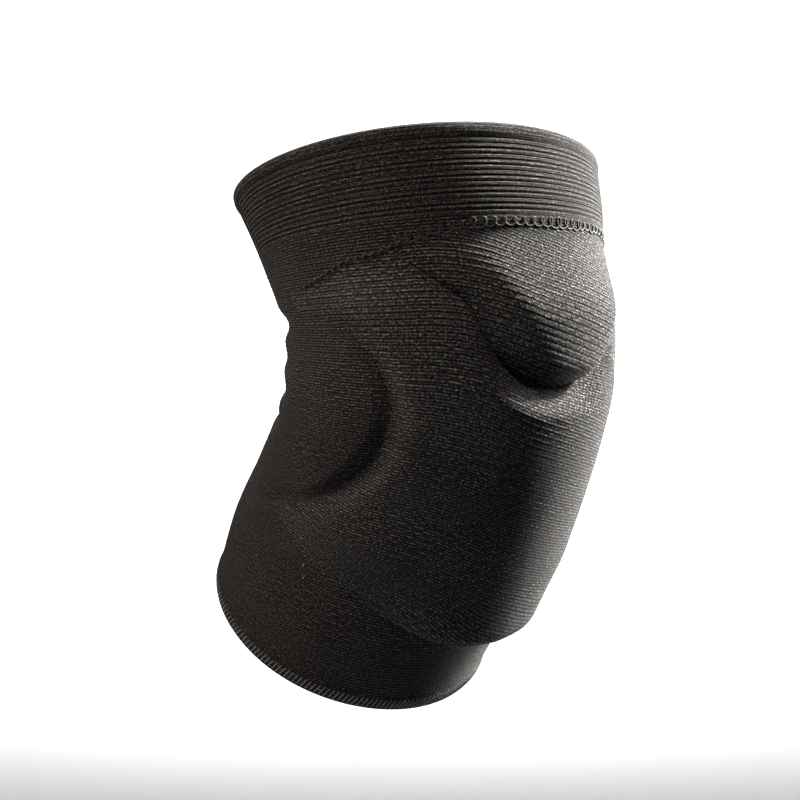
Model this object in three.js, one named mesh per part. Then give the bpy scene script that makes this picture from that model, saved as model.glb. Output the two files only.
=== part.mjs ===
// Padded knit sleeve for the knee, in the form it takes on a bent leg. Millimetres, +Z up.
// The front of the knee faces -Y, and the origin is the middle of the knee.

import * as THREE from 'three';
import { mergeVertices } from 'three/addons/utils/BufferGeometryUtils.js';

// Driving dimensions: the leg form, which is the inner face of the sleeve
const LEG_RISE = 180; // from the middle of the bottom rim up to the middle of the top rim
const KNEE_DEPTH = 118; // front to back at the knee
const KNEE_WIDTH = 112; // side to side at the knee
const SHIN_SETBACK = 54; // how far the bottom rim lies behind the knee
const SHIN_LEAN = 30; // degrees that the bottom rim is turned by the bend of the knee
const SIDE_TILT = 9; // degrees that the top rim is tipped sideways

// Driving dimensions: knit walls and the gap that is kept between two pieces
const CUFF_WALL = 1.5;
const CUFF_RIBS = 14;
const RIB_RELIEF = 0.7;
const HEM_ROLL = 4.2; // height of the rolled top hem
const HEM_FLATNESS = 0.85; // its thickness as a share of its height
const HEM_SIDES = 8;
const BOTTOM_HEM_HEIGHT = 3.6;
const BOTTOM_HEM_WALL = 2.6; // at the middle of its height
const BOTTOM_HEM_EDGE = 2.1; // at its two edges
const SLEEVE_WALL = 2.0;
const PLAIN_STRIP = 3; // plain knit between the pads' seam and the ribs, at the front
const GAP = 0.4;
const PAD_SEAT_GAP = 0.8; // under a pad, where two faceted faces lie on each other

// Driving dimensions: the two foam pads under their knit covers
const PAD_THICKNESS = 13;
const LOBE_THICKNESS = 11;
const PAD_RIM = 1.6; // thickness left at a pad's edge
const PAD_SHOULDER = 11; // how far in from its edge the knee pad reaches its full thickness
const RIDGE_SHOULDER = 6; // the same at its crisp ridge along the thigh pad
const LOBE_SHOULDER = 18; // the same on the rounder thigh pad
const LIP_SHOULDER = 6; // the same at the blunt lower lip of the knee pad
const LIP_DROOP = 5; // how far the lower lip hangs past its own root
const WING_REACH = 106; // degrees from the front to the tips of the side wings
const FOLD_DEPTH = 4; // deepest crease behind the knee
const FOLD_FADE = 30; // degrees from the wing tips to where the creases are full
const WINDOW_BULGE = 2.5; // how far the thin knit swells between the two arms of a wing

// Faces round a tube, along the sleeve, and across and along each pad
const AROUND = 42;
const SLEEVE_ROWS = 27;
const KNEE_PAD_GRID = [28, 20];
const EDGE_CROWDING = 0.6; // share by which a pad's rows crowd toward its upper and lower edges
const THIGH_PAD_GRID = [14, 10]; // as many columns as the knee pad has beside it

// Sections of the leg form from the bottom rim, at -1, to the top rim, at 1. The columns are shares:
// back of SHIN_SETBACK, rise of half LEG_RISE, lean of SHIN_LEAN, tilt of SIDE_TILT,
// front and rear of half KNEE_DEPTH, side of half KNEE_WIDTH.
const SECTIONS = [
  { at: -1.0, back: 1.0, rise: -1.04, lean: -1.0, tilt: -0.9, front: 0.95, rear: 1.04, side: 0.98 },
  { at: -0.7, back: 0.67, rise: -0.74, lean: -0.77, tilt: -0.55, front: 0.95, rear: 1.13, side: 1.0 },
  { at: -0.35, back: 0.39, rise: -0.41, lean: -0.5, tilt: -0.1, front: 0.95, rear: 1.08, side: 0.98 },
  { at: 0.0, back: 0.19, rise: -0.07, lean: -0.23, tilt: 0.0, front: 1.0, rear: 1.0, side: 1.0 },
  { at: 0.35, back: 0.07, rise: 0.3, lean: 0.07, tilt: 0.2, front: 1.05, rear: 1.0, side: 1.07 },
  { at: 0.7, back: 0.17, rise: 0.67, lean: 0.37, tilt: 0.55, front: 1.17, rear: 1.08, side: 1.22 },
  { at: 1.0, back: 0.33, rise: 0.95, lean: 0.58, tilt: 1.0, front: 1.24, rear: 1.17, side: 1.33 },
];

// Creases and swellings behind the knee: their station, and depth and half width as shares
// of FOLD_DEPTH and of half LEG_RISE. A negative depth swells outward.
const FOLDS = [
  { at: 0.39, depth: 0.95, halfWidth: 0.045 },
  { at: 0.24, depth: 0.35, halfWidth: 0.04 },
  { at: 0.09, depth: 1.0, halfWidth: 0.05 },
  { at: -0.06, depth: 0.4, halfWidth: 0.045 },
];

// Valley between the thigh pad and the knee pad: stations by angle, as a share of WING_REACH
const VALLEY = [
  { angle: 0.0, at: 0.18 },
  { angle: 0.1, at: 0.19 },
  { angle: 0.17, at: 0.22 },
  { angle: 0.23, at: 0.27 },
  { angle: 0.275, at: 0.33 },
  { angle: 0.31, at: 0.39 },
  { angle: 0.35, at: 0.45 },
  { angle: 0.41, at: 0.495 },
  { angle: 0.47, at: 0.54 },
  { angle: 0.53, at: 0.59 },
];

// Seam under the upper cuff, which the pads hang from
const SEAM = [
  { angle: 0.0, at: 0.67 },
  { angle: 0.3, at: 0.665 },
  { angle: 0.5, at: 0.635 },
  { angle: 0.6, at: 0.605 },
  { angle: 0.72, at: 0.585 },
  { angle: 0.82, at: 0.545 },
  { angle: 0.91, at: 0.52 },
  { angle: 1.0, at: 0.51 },
];

// Lower edge of the knee pad
const LOWER_EDGE = [
  { angle: 0.0, at: -0.69 },
  { angle: 0.2, at: -0.68 },
  { angle: 0.4, at: -0.655 },
  { angle: 0.6, at: -0.6 },
  { angle: 0.8, at: -0.54 },
  { angle: 0.9, at: -0.48 },
  { angle: 1.0, at: -0.43 },
];

// Outer edge of a side wing, with the round window between its arms: reach by station
const WING_EDGE = [
  { at: -0.43, reach: 1.0 },
  { at: -0.405, reach: 0.98 },
  { at: -0.36, reach: 0.87 },
  { at: -0.3, reach: 0.77 },
  { at: -0.2, reach: 0.68 },
  { at: -0.06, reach: 0.6 },
  { at: 0.1, reach: 0.58 },
  { at: 0.2, reach: 0.61 },
  { at: 0.3, reach: 0.68 },
  { at: 0.38, reach: 0.77 },
  { at: 0.43, reach: 0.9 },
  { at: 0.455, reach: 0.98 },
  { at: 0.51, reach: 1.0 },
];

// Fullness of the knee pad by angle, as shares of WING_REACH and of PAD_THICKNESS
const PAD_FULLNESS = [
  { angle: 0.0, share: 1.0 },
  { angle: 0.35, share: 0.97 },
  { angle: 0.55, share: 0.72 },
  { angle: 0.75, share: 0.5 },
  { angle: 1.0, share: 0.38 },
];

const HALF_RISE = LEG_RISE / 2;
const HALF_DEPTH = KNEE_DEPTH / 2;
const HALF_WIDTH = KNEE_WIDTH / 2;
const VALLEY_REACH = VALLEY.at(-1).angle; // where the thigh pad ends and the wings begin

// Middle and half size of the round window in a wing, as a share of WING_REACH and in stations
const WINDOW = { angle: 0.83, halfAngle: 0.2, at: 0.03, halfHeight: 0.3 };

// The lower lip of the knee pad: stations between which it fades in, and angles over which it fades out
const LIP = { foot: -0.55, head: -0.35, full: 60, none: 95 };

const KNIT = { rib: 0x24201d, plain: 0x2b2724, cover: 0x38332f, edge: 0x57534f };

const { clamp, lerp, degToRad, radToDeg, smoothstep } = THREE.MathUtils;

// Smooth curve through one column of a table, by another column
function curve(table, by, name, x) {
  const last = table.length - 1;
  const spot = clamp(x, table[0][by], table[last][by]);
  let i = 0;
  while (i < last - 1 && spot > table[i + 1][by]) i += 1;
  const slope = (k) => {
    const a = table[Math.max(k - 1, 0)];
    const b = table[Math.min(k + 1, last)];
    return (b[name] - a[name]) / (b[by] - a[by]);
  };
  const width = table[i + 1][by] - table[i][by];
  const t = (spot - table[i][by]) / width;
  const s = 1 - t;
  return s * s * (1 + 2 * t) * table[i][name] + t * t * (1 + 2 * s) * table[i + 1][name]
    + s * s * t * width * slope(i) - s * t * t * width * slope(i + 1);
}

// A point that stands a given distance off the leg form, at an angle from the front and a station
function onLeg(angle, at, off) {
  const section = (name) => curve(SECTIONS, 'at', name, at);
  const turn = degToRad(angle);
  const deep = HALF_DEPTH * (Math.cos(turn) > 0 ? section('front') : section('rear'));
  const wide = HALF_WIDTH * section('side');
  const outward = new THREE.Vector2(Math.sin(turn) / wide, Math.cos(turn) / deep).normalize();
  const x = wide * Math.sin(turn) + off * outward.x;
  const forward = deep * Math.cos(turn) + off * outward.y;
  const lean = degToRad(SHIN_LEAN * section('lean'));
  const tilt = degToRad(SIDE_TILT * section('tilt'));
  return new THREE.Vector3(
    x * Math.cos(tilt),
    SHIN_SETBACK * section('back') - forward * Math.cos(lean),
    HALF_RISE * section('rise') + forward * Math.sin(lean) - x * Math.sin(tilt),
  );
}

// How far the plain knit stands off the leg form: folds behind the knee, swelling in the windows
function knitRelief(angle, at) {
  const behind = smoothstep(Math.abs(angle), WING_REACH, WING_REACH + FOLD_FADE);
  const folds = FOLDS.map((f) => f.depth * Math.exp(-(((at - f.at) / f.halfWidth) ** 2)));
  const crease = FOLD_DEPTH * behind * folds.reduce((sum, f) => sum + f, 0);
  const sideways = (Math.abs(angle) / WING_REACH - WINDOW.angle) / WINDOW.halfAngle;
  const upward = (at - WINDOW.at) / WINDOW.halfHeight;
  return WINDOW_BULGE * Math.exp(-(sideways ** 2) - upward ** 2) - crease;
}

function closedBody(geometry) {
  geometry.deleteAttribute('normal');
  geometry.deleteAttribute('uv');
  const body = mergeVertices(geometry, 1e-3);
  body.computeVertexNormals();
  return body;
}

// A knit tube: a wall profile of stations and distances off the leg, turned once round and set on the leg.
// Its inner side is listed downward first, then its outer side upward.
function knitTube(profile, relief = () => 0) {
  const rim = profile.map((p) => new THREE.Vector2(HALF_WIDTH + p.off, HALF_RISE * p.at));
  const tube = new THREE.LatheGeometry([...rim, rim[0].clone()], AROUND);
  const spots = tube.attributes.position;
  for (let i = 0; i < spots.count; i += 1) {
    const angle = radToDeg(Math.atan2(spots.getX(i), spots.getZ(i)));
    const at = spots.getY(i) / HALF_RISE;
    const off = Math.hypot(spots.getX(i), spots.getZ(i)) - HALF_WIDTH;
    spots.setXYZ(i, ...onLeg(angle, at, off + relief(angle, at)));
  }
  return closedBody(tube);
}

function steps(from, to, count) {
  return Array.from({ length: count + 1 }, (_, i) => lerp(from, to, i / count));
}

// Stations where one piece ends and the next begins, worked out from the pieces' heights
const share = (length) => length / HALF_RISE;
const TOP_HEM_FOOT = 1 - share(HEM_ROLL);
const CUFF_TOP = TOP_HEM_FOOT - share(GAP);
const CUFF_FOOT = SEAM[0].at + share(PLAIN_STRIP);
const SLEEVE_TOP = CUFF_FOOT - share(GAP);
const SLEEVE_FOOT = -1 + share(BOTTOM_HEM_HEIGHT + GAP);

// A hem rolled on itself, a little thicker than the cuff that it finishes
function topHem() {
  const middle = 1 - share(HEM_ROLL) / 2;
  const radius = HEM_ROLL / 2;
  const turns = steps(0, 2 * Math.PI, HEM_SIDES).slice(0, HEM_SIDES);
  return knitTube(turns.map((turn) => ({
    at: middle - share(radius * Math.sin(turn)),
    off: radius * HEM_FLATNESS * (1 - Math.cos(turn)),
  })));
}

// The ribbed elastic cuff on the thigh: every rib is a low ridge that runs round the leg
function upperCuff() {
  const inner = steps(CUFF_TOP, CUFF_FOOT, 4).map((at) => ({ at, off: 0 }));
  const ribs = steps(CUFF_FOOT, CUFF_TOP, 2 * CUFF_RIBS).map((at, i) => ({
    at,
    off: CUFF_WALL + (i % 2 ? RIB_RELIEF : 0),
  }));
  return knitTube([...inner, ...ribs]);
}

// The plain knit tube, with the folds behind the knee and the windows of the wings
function sleeve() {
  const inner = steps(SLEEVE_TOP, SLEEVE_FOOT, SLEEVE_ROWS).map((at) => ({ at, off: 0 }));
  const outer = steps(SLEEVE_FOOT, SLEEVE_TOP, SLEEVE_ROWS).map((at) => ({ at, off: SLEEVE_WALL }));
  return knitTube([...inner, ...outer], knitRelief);
}

// The overlocked edge on the shin
function bottomHem() {
  const top = -1 + share(BOTTOM_HEM_HEIGHT);
  const middle = (top - 1) / 2;
  return knitTube([
    { at: top, off: 0 },
    { at: -1, off: 0 },
    { at: -1, off: BOTTOM_HEM_EDGE },
    { at: middle, off: BOTTOM_HEM_WALL },
    { at: top, off: BOTTOM_HEM_EDGE },
  ]);
}

// A pad: a box bent onto the sleeve. place turns the box's u and v, both from -1 to 1, into an angle
// and a station, and thickness gives the pad's height by angle, station and distance from its edge.
function pad([across, along], place, thickness, droop) {
  const box = new THREE.BoxGeometry(2, 2, 1, across, along, 1);
  const edge = padEdge(place, across, along);
  const spots = box.attributes.position;
  for (let i = 0; i < spots.count; i += 1) {
    const row = spots.getY(i);
    const spot = place(spots.getX(i), lerp(row, Math.sin(row * Math.PI / 2), EDGE_CROWDING));
    const seat = SLEEVE_WALL + PAD_SEAT_GAP + knitRelief(spot.angle, spot.at);
    if (spots.getZ(i) > 0) {
      const inset = edgeDistance(onLeg(spot.angle, spot.at, 0), edge);
      const height = thickness(spot, inset);
      spots.setXYZ(i, ...onLeg(spot.angle, spot.at - share(droop(spot, inset)), seat + height));
    } else {
      spots.setXYZ(i, ...onLeg(spot.angle, spot.at, seat));
    }
  }
  return closedBody(box);
}

// The pad's outline on the leg form, as a closed ring of points
function padEdge(place, across, along) {
  const wide = steps(-1, 1, 3 * across).slice(0, -1);
  const high = steps(-1, 1, 6 * along).slice(0, -1);
  const spots = [
    ...wide.map((u) => place(u, -1)),
    ...high.map((v) => place(1, v)),
    ...wide.map((u) => place(-u, 1)),
    ...high.map((v) => place(-1, -v)),
  ];
  return spots.map((spot) => onLeg(spot.angle, spot.at, 0));
}

function edgeDistance(point, edge) {
  const side = new THREE.Line3();
  const near = new THREE.Vector3();
  return edge.reduce((least, start, i) => {
    side.set(start, edge[(i + 1) % edge.length]).closestPointToPoint(point, true, near);
    return Math.min(least, near.distanceTo(point));
  }, Infinity);
}

// A quarter-round shoulder, from 0 at the edge to 1 at its full width
function shoulder(inset, width) {
  const short = 1 - clamp(inset / width, 0, 1);
  return Math.sqrt(1 - short * short);
}

// The knee pad, with the side wings that reach round the leg and the round window in each.
// Half of its columns lie under the thigh pad and match that pad's own, the others are in the wings.
function kneePad() {
  const place = (u, v) => {
    const middle = 2 * Math.min(Math.abs(u), 0.5);
    const wing = 2 * Math.abs(u) - middle;
    const reach = lerp(middle * VALLEY_REACH, 1, wing);
    const top = curve(wing > 0 ? SEAM : VALLEY, 'angle', 'at', reach);
    const at = lerp(curve(LOWER_EDGE, 'angle', 'at', reach), top - share(GAP), (v + 1) / 2);
    const outer = curve(WING_EDGE, 'at', 'reach', at);
    return { angle: Math.sign(u) * WING_REACH * lerp(middle * VALLEY_REACH, outer, wing), at };
  };
  const nearLip = (at) => 1 - smoothstep(at, LIP.foot, LIP.head);
  const nearRidge = (reach, at) => {
    const ridge = curve(VALLEY, 'angle', 'at', reach);
    const below = smoothstep(at, ridge - share(3 * RIDGE_SHOULDER), ridge - share(RIDGE_SHOULDER));
    return below * (1 - smoothstep(reach, VALLEY_REACH, 1.3 * VALLEY_REACH));
  };
  const thickness = ({ angle, at }, inset) => {
    const reach = Math.abs(angle) / WING_REACH;
    const full = PAD_THICKNESS * curve(PAD_FULLNESS, 'angle', 'share', reach);
    const width = lerp(PAD_SHOULDER, LIP_SHOULDER, nearLip(at));
    const round = shoulder(inset, lerp(width, RIDGE_SHOULDER, nearRidge(reach, at)));
    return PAD_RIM + (full - PAD_RIM) * round;
  };
  const droop = ({ angle, at }, inset) => {
    const front = 1 - smoothstep(Math.abs(angle), LIP.full, LIP.none);
    return LIP_DROOP * nearLip(at) * front * (1 - clamp(inset / PAD_SHOULDER, 0, 1));
  };
  return pad(KNEE_PAD_GRID, place, thickness, droop);
}

// The thigh pad: a rounded tongue that hangs from the seam down to the valley over the knee
function thighPad() {
  const place = (u, v) => {
    const reach = Math.abs(u) * VALLEY_REACH;
    const foot = curve(VALLEY, 'angle', 'at', reach) + share(GAP);
    const top = curve(SEAM, 'angle', 'at', reach) - share(GAP);
    return { angle: u * VALLEY_REACH * WING_REACH, at: lerp(foot, top, (v + 1) / 2) };
  };
  const thickness = (spot, inset) => PAD_RIM + (LOBE_THICKNESS - PAD_RIM) * shoulder(inset, LOBE_SHOULDER);
  return pad(THIGH_PAD_GRID, place, thickness, () => 0);
}

function knit(name, geometry, color) {
  const material = new THREE.MeshStandardMaterial({ color, roughness: 0.95, metalness: 0 });
  const piece = new THREE.Mesh(geometry, material);
  piece.name = name;
  return piece;
}

const paddedSleeve = new THREE.Group();
paddedSleeve.add(
  knit('top_hem', topHem(), KNIT.rib),
  knit('upper_cuff', upperCuff(), KNIT.rib),
  knit('sleeve', sleeve(), KNIT.plain),
  knit('thigh_pad', thighPad(), KNIT.cover),
  knit('knee_pad', kneePad(), KNIT.cover),
  knit('bottom_hem', bottomHem(), KNIT.edge),
);

export default paddedSleeve;
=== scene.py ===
# %% [markdown]
# # A padded knit sleeve for the knee
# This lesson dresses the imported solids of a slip-on knee pad. The pad is a knitted tube with two foam
# pads sewn under a knit cover, and it is shown in the bent form that it takes when it is worn.
# Every knit piece is made the same way: a fine flat grid, made by a bmesh operator, is moved onto that
# form. The fabric's own rows then run round it as they do on the real one, and the grid's UVs stay with
# the fabric. The threads come last, as coils and as rows of beads.

# %% Load the frame and keep its box
import math

import bmesh
import bpy
import numpy as np
from mathutils import Matrix, Vector
from mathutils.kdtree import KDTree


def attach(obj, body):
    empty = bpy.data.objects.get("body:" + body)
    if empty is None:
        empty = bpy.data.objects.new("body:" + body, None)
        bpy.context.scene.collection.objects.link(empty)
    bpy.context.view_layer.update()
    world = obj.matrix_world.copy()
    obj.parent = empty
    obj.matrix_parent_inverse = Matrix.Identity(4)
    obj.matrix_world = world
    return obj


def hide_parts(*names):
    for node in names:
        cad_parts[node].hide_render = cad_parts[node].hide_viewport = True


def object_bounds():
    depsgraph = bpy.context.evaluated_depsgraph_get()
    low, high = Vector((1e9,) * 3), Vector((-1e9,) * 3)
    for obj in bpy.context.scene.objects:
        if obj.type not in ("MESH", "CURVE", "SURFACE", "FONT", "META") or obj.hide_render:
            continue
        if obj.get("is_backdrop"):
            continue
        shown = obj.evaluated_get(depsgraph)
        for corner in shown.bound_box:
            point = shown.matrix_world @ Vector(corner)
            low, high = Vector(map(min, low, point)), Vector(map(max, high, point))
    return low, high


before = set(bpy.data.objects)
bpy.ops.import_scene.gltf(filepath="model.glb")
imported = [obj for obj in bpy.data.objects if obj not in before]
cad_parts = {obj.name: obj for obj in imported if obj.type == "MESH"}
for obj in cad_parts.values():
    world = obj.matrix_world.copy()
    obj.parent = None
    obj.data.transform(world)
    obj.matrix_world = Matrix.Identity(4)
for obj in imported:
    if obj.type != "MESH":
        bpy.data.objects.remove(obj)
cad_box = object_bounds()
MM = 0.001
print("solids:", sorted(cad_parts), "mm:", [round(v / MM) for v in cad_box[1] - cad_box[0]])

# %% [markdown]
# ## The worn form
# The sleeve has no form of its own: it takes the bent form in which it is worn. A few sections, from the
# shin rim at -1 to the thigh rim at 1, say where the middle runs, how each section leans, and how deep
# and wide it is. They are shares of the same sizes as in the solids. A smooth curve through each column
# gives every station between them.

# %% Sizes and sections of the worn form
LEG_RISE = 180 * MM
KNEE_DEPTH = 118 * MM
KNEE_WIDTH = 112 * MM
SHIN_SETBACK = 54 * MM
SHIN_LEAN = math.radians(30)
SIDE_TILT = math.radians(9)
HALF_RISE = LEG_RISE / 2

SECTION_COLUMNS = ("at", "back", "rise", "lean", "tilt", "front", "rear", "side")
SECTIONS = np.array([
    (-1.0, 1.0, -1.04, -1.0, -0.9, 0.95, 1.04, 0.98),
    (-0.7, 0.67, -0.74, -0.77, -0.55, 0.95, 1.13, 1.0),
    (-0.35, 0.39, -0.41, -0.5, -0.1, 0.95, 1.08, 0.98),
    (0.0, 0.19, -0.07, -0.23, 0.0, 1.0, 1.0, 1.0),
    (0.35, 0.07, 0.3, 0.07, 0.2, 1.05, 1.0, 1.07),
    (0.7, 0.17, 0.67, 0.37, 0.55, 1.17, 1.08, 1.22),
    (1.0, 0.33, 0.95, 0.58, 1.0, 1.24, 1.17, 1.33),
])


def curve(table, x, column=1):
    """A smooth curve through one column of a table, by its first column."""
    xs, ys = np.asarray(table)[:, 0], np.asarray(table)[:, column]
    slopes = np.concatenate([
        [(ys[1] - ys[0]) / (xs[1] - xs[0])],
        (ys[2:] - ys[:-2]) / (xs[2:] - xs[:-2]),
        [(ys[-1] - ys[-2]) / (xs[-1] - xs[-2])],
    ])
    x = np.clip(x, xs[0], xs[-1])
    i = np.clip(np.searchsorted(xs, x, side="left") - 1, 0, len(xs) - 2)
    width = xs[i + 1] - xs[i]
    t = (x - xs[i]) / width
    s = 1 - t
    return (s * s * (1 + 2 * t) * ys[i] + t * t * (1 + 2 * s) * ys[i + 1]
            + s * s * t * width * slopes[i] - s * t * t * width * slopes[i + 1])


def on_leg(angle, at, off):
    """Points that stand off the worn form, by angle from the front in degrees and station."""
    section = {name: curve(SECTIONS, at, k) for k, name in enumerate(SECTION_COLUMNS)}
    turn = np.radians(angle)
    deep = KNEE_DEPTH / 2 * np.where(np.cos(turn) > 0, section["front"], section["rear"])
    wide = KNEE_WIDTH / 2 * section["side"]
    out_x, out_y = np.sin(turn) / wide, np.cos(turn) / deep
    length = np.hypot(out_x, out_y)
    x = wide * np.sin(turn) + off * out_x / length
    forward = deep * np.cos(turn) + off * out_y / length
    lean, tilt = SHIN_LEAN * section["lean"], SIDE_TILT * section["tilt"]
    return np.stack([
        x * np.cos(tilt),
        SHIN_SETBACK * section["back"] - forward * np.cos(lean),
        HALF_RISE * section["rise"] + forward * np.sin(lean) - x * np.sin(tilt),
    ], axis=-1)


knee_ring = on_leg(np.arange(361.0), np.zeros(361), np.zeros(361))
print("round the knee, mm:", round(np.linalg.norm(np.diff(knee_ring, axis=0), axis=1).sum() / MM))

# %% [markdown]
# ## Camera
# The photograph looks at the pad half from the front and half from the outer side, from a little above.
# The camera is made first. Its lens gives the object the size that it has in the photograph's square
# frame.

# %% Camera
VIEW_TURN = math.radians(-45)
VIEW_RISE = math.radians(5)
VIEW_DISTANCE = 1.2
PICTURE_WIDTH_AT_KNEE = 320 * MM
KNEE_LEFT_OF_AIM = -18 * MM

toward_camera = Vector((
    math.sin(VIEW_TURN) * math.cos(VIEW_RISE),
    -math.cos(VIEW_TURN) * math.cos(VIEW_RISE),
    math.sin(VIEW_RISE),
))
picture_right = Vector((math.cos(VIEW_TURN), math.sin(VIEW_TURN), 0))
aim = picture_right * KNEE_LEFT_OF_AIM
camera_data = bpy.data.cameras.new("camera")
camera_data.lens = camera_data.sensor_width * VIEW_DISTANCE / PICTURE_WIDTH_AT_KNEE
camera = bpy.data.objects.new("camera", camera_data)
camera.location = aim + toward_camera * VIEW_DISTANCE
camera.rotation_euler = (-toward_camera).to_track_quat("-Z", "Y").to_euler()
bpy.context.scene.collection.objects.link(camera)
bpy.context.scene.camera = camera
print("lens, mm:", round(camera_data.lens, 1))

# %% [markdown]
# ## Edges, folds and pads as short tables
# Where the pads begin and end is what the eye knows this object by. Each edge is a short table: the
# station of the edge by the angle from the front, as a share of how far the wings reach round.
# The valley is the fold between the two pads, the seam is where the cover is linked to the cuff, and
# each wing splits into two arms round an open window of thin knit.

# %% Tables of edges and folds
# Angles are in degrees from the front. The columns are reach and station; in WING_EDGE, station and reach
WING_REACH = 106.0
VALLEY = [(0.0, 0.18), (0.1, 0.19), (0.17, 0.22), (0.23, 0.27), (0.275, 0.33), (0.31, 0.39),
          (0.35, 0.45), (0.41, 0.495), (0.47, 0.54), (0.53, 0.59)]
SEAM = [(0.0, 0.67), (0.3, 0.665), (0.5, 0.635), (0.6, 0.605), (0.72, 0.585), (0.82, 0.545),
        (0.91, 0.52), (1.0, 0.51)]
LOWER_EDGE = [(0.0, -0.69), (0.2, -0.68), (0.4, -0.655), (0.6, -0.6), (0.8, -0.54), (0.9, -0.48),
              (1.0, -0.43)]
WING_EDGE = [(-0.43, 1.0), (-0.405, 0.98), (-0.36, 0.87), (-0.3, 0.77), (-0.2, 0.68), (-0.06, 0.6),
             (0.1, 0.58), (0.2, 0.61), (0.3, 0.68), (0.38, 0.77), (0.43, 0.9), (0.455, 0.98),
             (0.51, 1.0)]
# How full the knee pad's foam is, by reach
PAD_FULLNESS = [(0.0, 1.0), (0.2, 0.95), (0.35, 0.82), (0.55, 0.58), (0.75, 0.42), (1.0, 0.34)]
VALLEY_REACH = VALLEY[-1][0]

# Creases behind the knee: station, depth as a share of FOLD_DEPTH, half width in stations
FOLDS = [(0.39, 0.95, 0.045), (0.24, 0.35, 0.04), (0.09, 1.0, 0.05), (-0.06, 0.4, 0.045)]
FOLD_DEPTH = 4 * MM
FOLD_FADE = 30.0
WINDOW_BULGE = 2.5 * MM
WINDOW_AT, WINDOW_HALF_HEIGHT = 0.03, 0.3
WINDOW_REACH, WINDOW_HALF_REACH = 0.83, 0.2


def smoothstep(x, low, high):
    t = np.clip((x - low) / (high - low), 0, 1)
    return t * t * (3 - 2 * t)


def knit_relief(angle, at):
    """How far the plain knit stands off the worn form: creases behind, a swelling in each window."""
    behind = smoothstep(np.abs(angle), WING_REACH, WING_REACH + FOLD_FADE)
    crease = sum(depth * np.exp(-((at - where) / half) ** 2) for where, depth, half in FOLDS)
    sideways = (np.abs(angle) / WING_REACH - WINDOW_REACH) / WINDOW_HALF_REACH
    upward = (at - WINDOW_AT) / WINDOW_HALF_HEIGHT
    return WINDOW_BULGE * np.exp(-sideways ** 2 - upward ** 2) - FOLD_DEPTH * behind * crease


print("pad edges:", len(VALLEY), len(SEAM), len(LOWER_EDGE), len(WING_EDGE), "rows; folds:", len(FOLDS))

# %% [markdown]
# ## Fabric from a flat grid
# Knitted cloth is rows of loops, so a grid of quads is its natural mesh: one direction of the grid is
# the row and the other climbs from row to row. `create_grid` makes it with its UVs, NumPy moves the
# vertices onto the worn form, and `remove_doubles` closes the ring. UVs are then rewritten in
# millimetres of cloth, so that one stitch has one size on every piece.

# %% A helper that turns a grid into a piece of cloth
def cloth(name, columns, rows, place, welded=True):
    """A grid whose points are set by place(u, v), both from 0 to 1, which gives points and UVs."""
    bm = bmesh.new()
    bm.loops.layers.uv.new("cloth")
    bmesh.ops.create_grid(bm, x_segments=columns, y_segments=rows, size=0.5, calc_uvs=True)
    mesh = bpy.data.meshes.new(name)
    bm.to_mesh(mesh)
    bm.free()
    flat = np.empty(3 * len(mesh.vertices))
    mesh.vertices.foreach_get("co", flat)
    flat = flat.reshape(-1, 3)
    points, uv, heights = place(flat[:, 0] + 0.5, flat[:, 1] + 0.5)
    mesh.vertices.foreach_set("co", np.ascontiguousarray(points, dtype=np.float32).ravel())
    corner = np.empty(len(mesh.loops), dtype=np.int32)
    mesh.loops.foreach_get("vertex_index", corner)
    mesh.uv_layers["cloth"].data.foreach_set("uv", uv[corner].astype(np.float32).ravel())
    # The ridge height goes on as an attribute, which the knit shader paints lighter: a painted highlight.
    ridge = mesh.attributes.new("ridge", "FLOAT", "POINT")
    ridge.data.foreach_set("value", heights.astype(np.float32))
    if welded:
        bm = bmesh.new()
        bm.from_mesh(mesh)
        bmesh.ops.remove_doubles(bm, verts=bm.verts, dist=0.01 * MM)
        bmesh.ops.recalc_face_normals(bm, faces=bm.faces)
        bm.to_mesh(mesh)
        bm.free()
    return mesh


def add_piece(name, mesh, material, replaced=()):
    """Put a mesh in the scene as a smooth piece that rides on the part's only body."""
    mesh.name = name
    mesh.shade_smooth()
    mesh.materials.clear()
    mesh.materials.append(material)
    piece = bpy.data.objects.new(name, mesh)
    bpy.context.scene.collection.objects.link(piece)
    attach(piece, "root")
    if replaced:
        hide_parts(*replaced)
    mesh.calc_loop_triangles()
    print(name, "triangles:", len(mesh.loop_triangles))
    return piece

# %% [markdown]
# ## Knit finishes
# Black knit is never flat black. Its loops are under a millimetre across, and each one is a bright speck
# beside a dark hole, so from a step away the cloth looks heathered. Here two waves on the cloth's own
# millimetre UVs cross into a field of loops, and noise makes some loops brighter than others. Now and
# then a row stands up: the mesh holds it as relief and as the attribute "ridge", and the colour is
# painted lighter along it, a painted highlight. Where a material asks for it, the cloth off the ridges is
# painted darker, a painted shade in the grooves. Loose fibre gives a soft bloom, set as sheen on the
# shader.

# %% A knit material made of nodes
# Pitches and wander are shares of a material's loop; scales are per millimetre of cloth
KNIT_ROUGHNESS, KNIT_SPECULAR = 0.9, 0.04
BLOOM_ROUGHNESS, BLOOM_TINT = 0.4, (1.0, 0.95, 0.9, 1.0)
ROW_PITCH, COLUMN_PITCH = 1.15, 1.3
LOOP_WANDER, WANDER_SCALE = 0.8, 0.5
LOOP_CONTRAST = 4.0
FUZZ_SCALE, FUZZ_GAIN, FUZZ_CONTRAST = 0.9, 1.75, 5.0
BREAK_SCALE = 0.35
PATCHES_PER_METRE = 35.0


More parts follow.
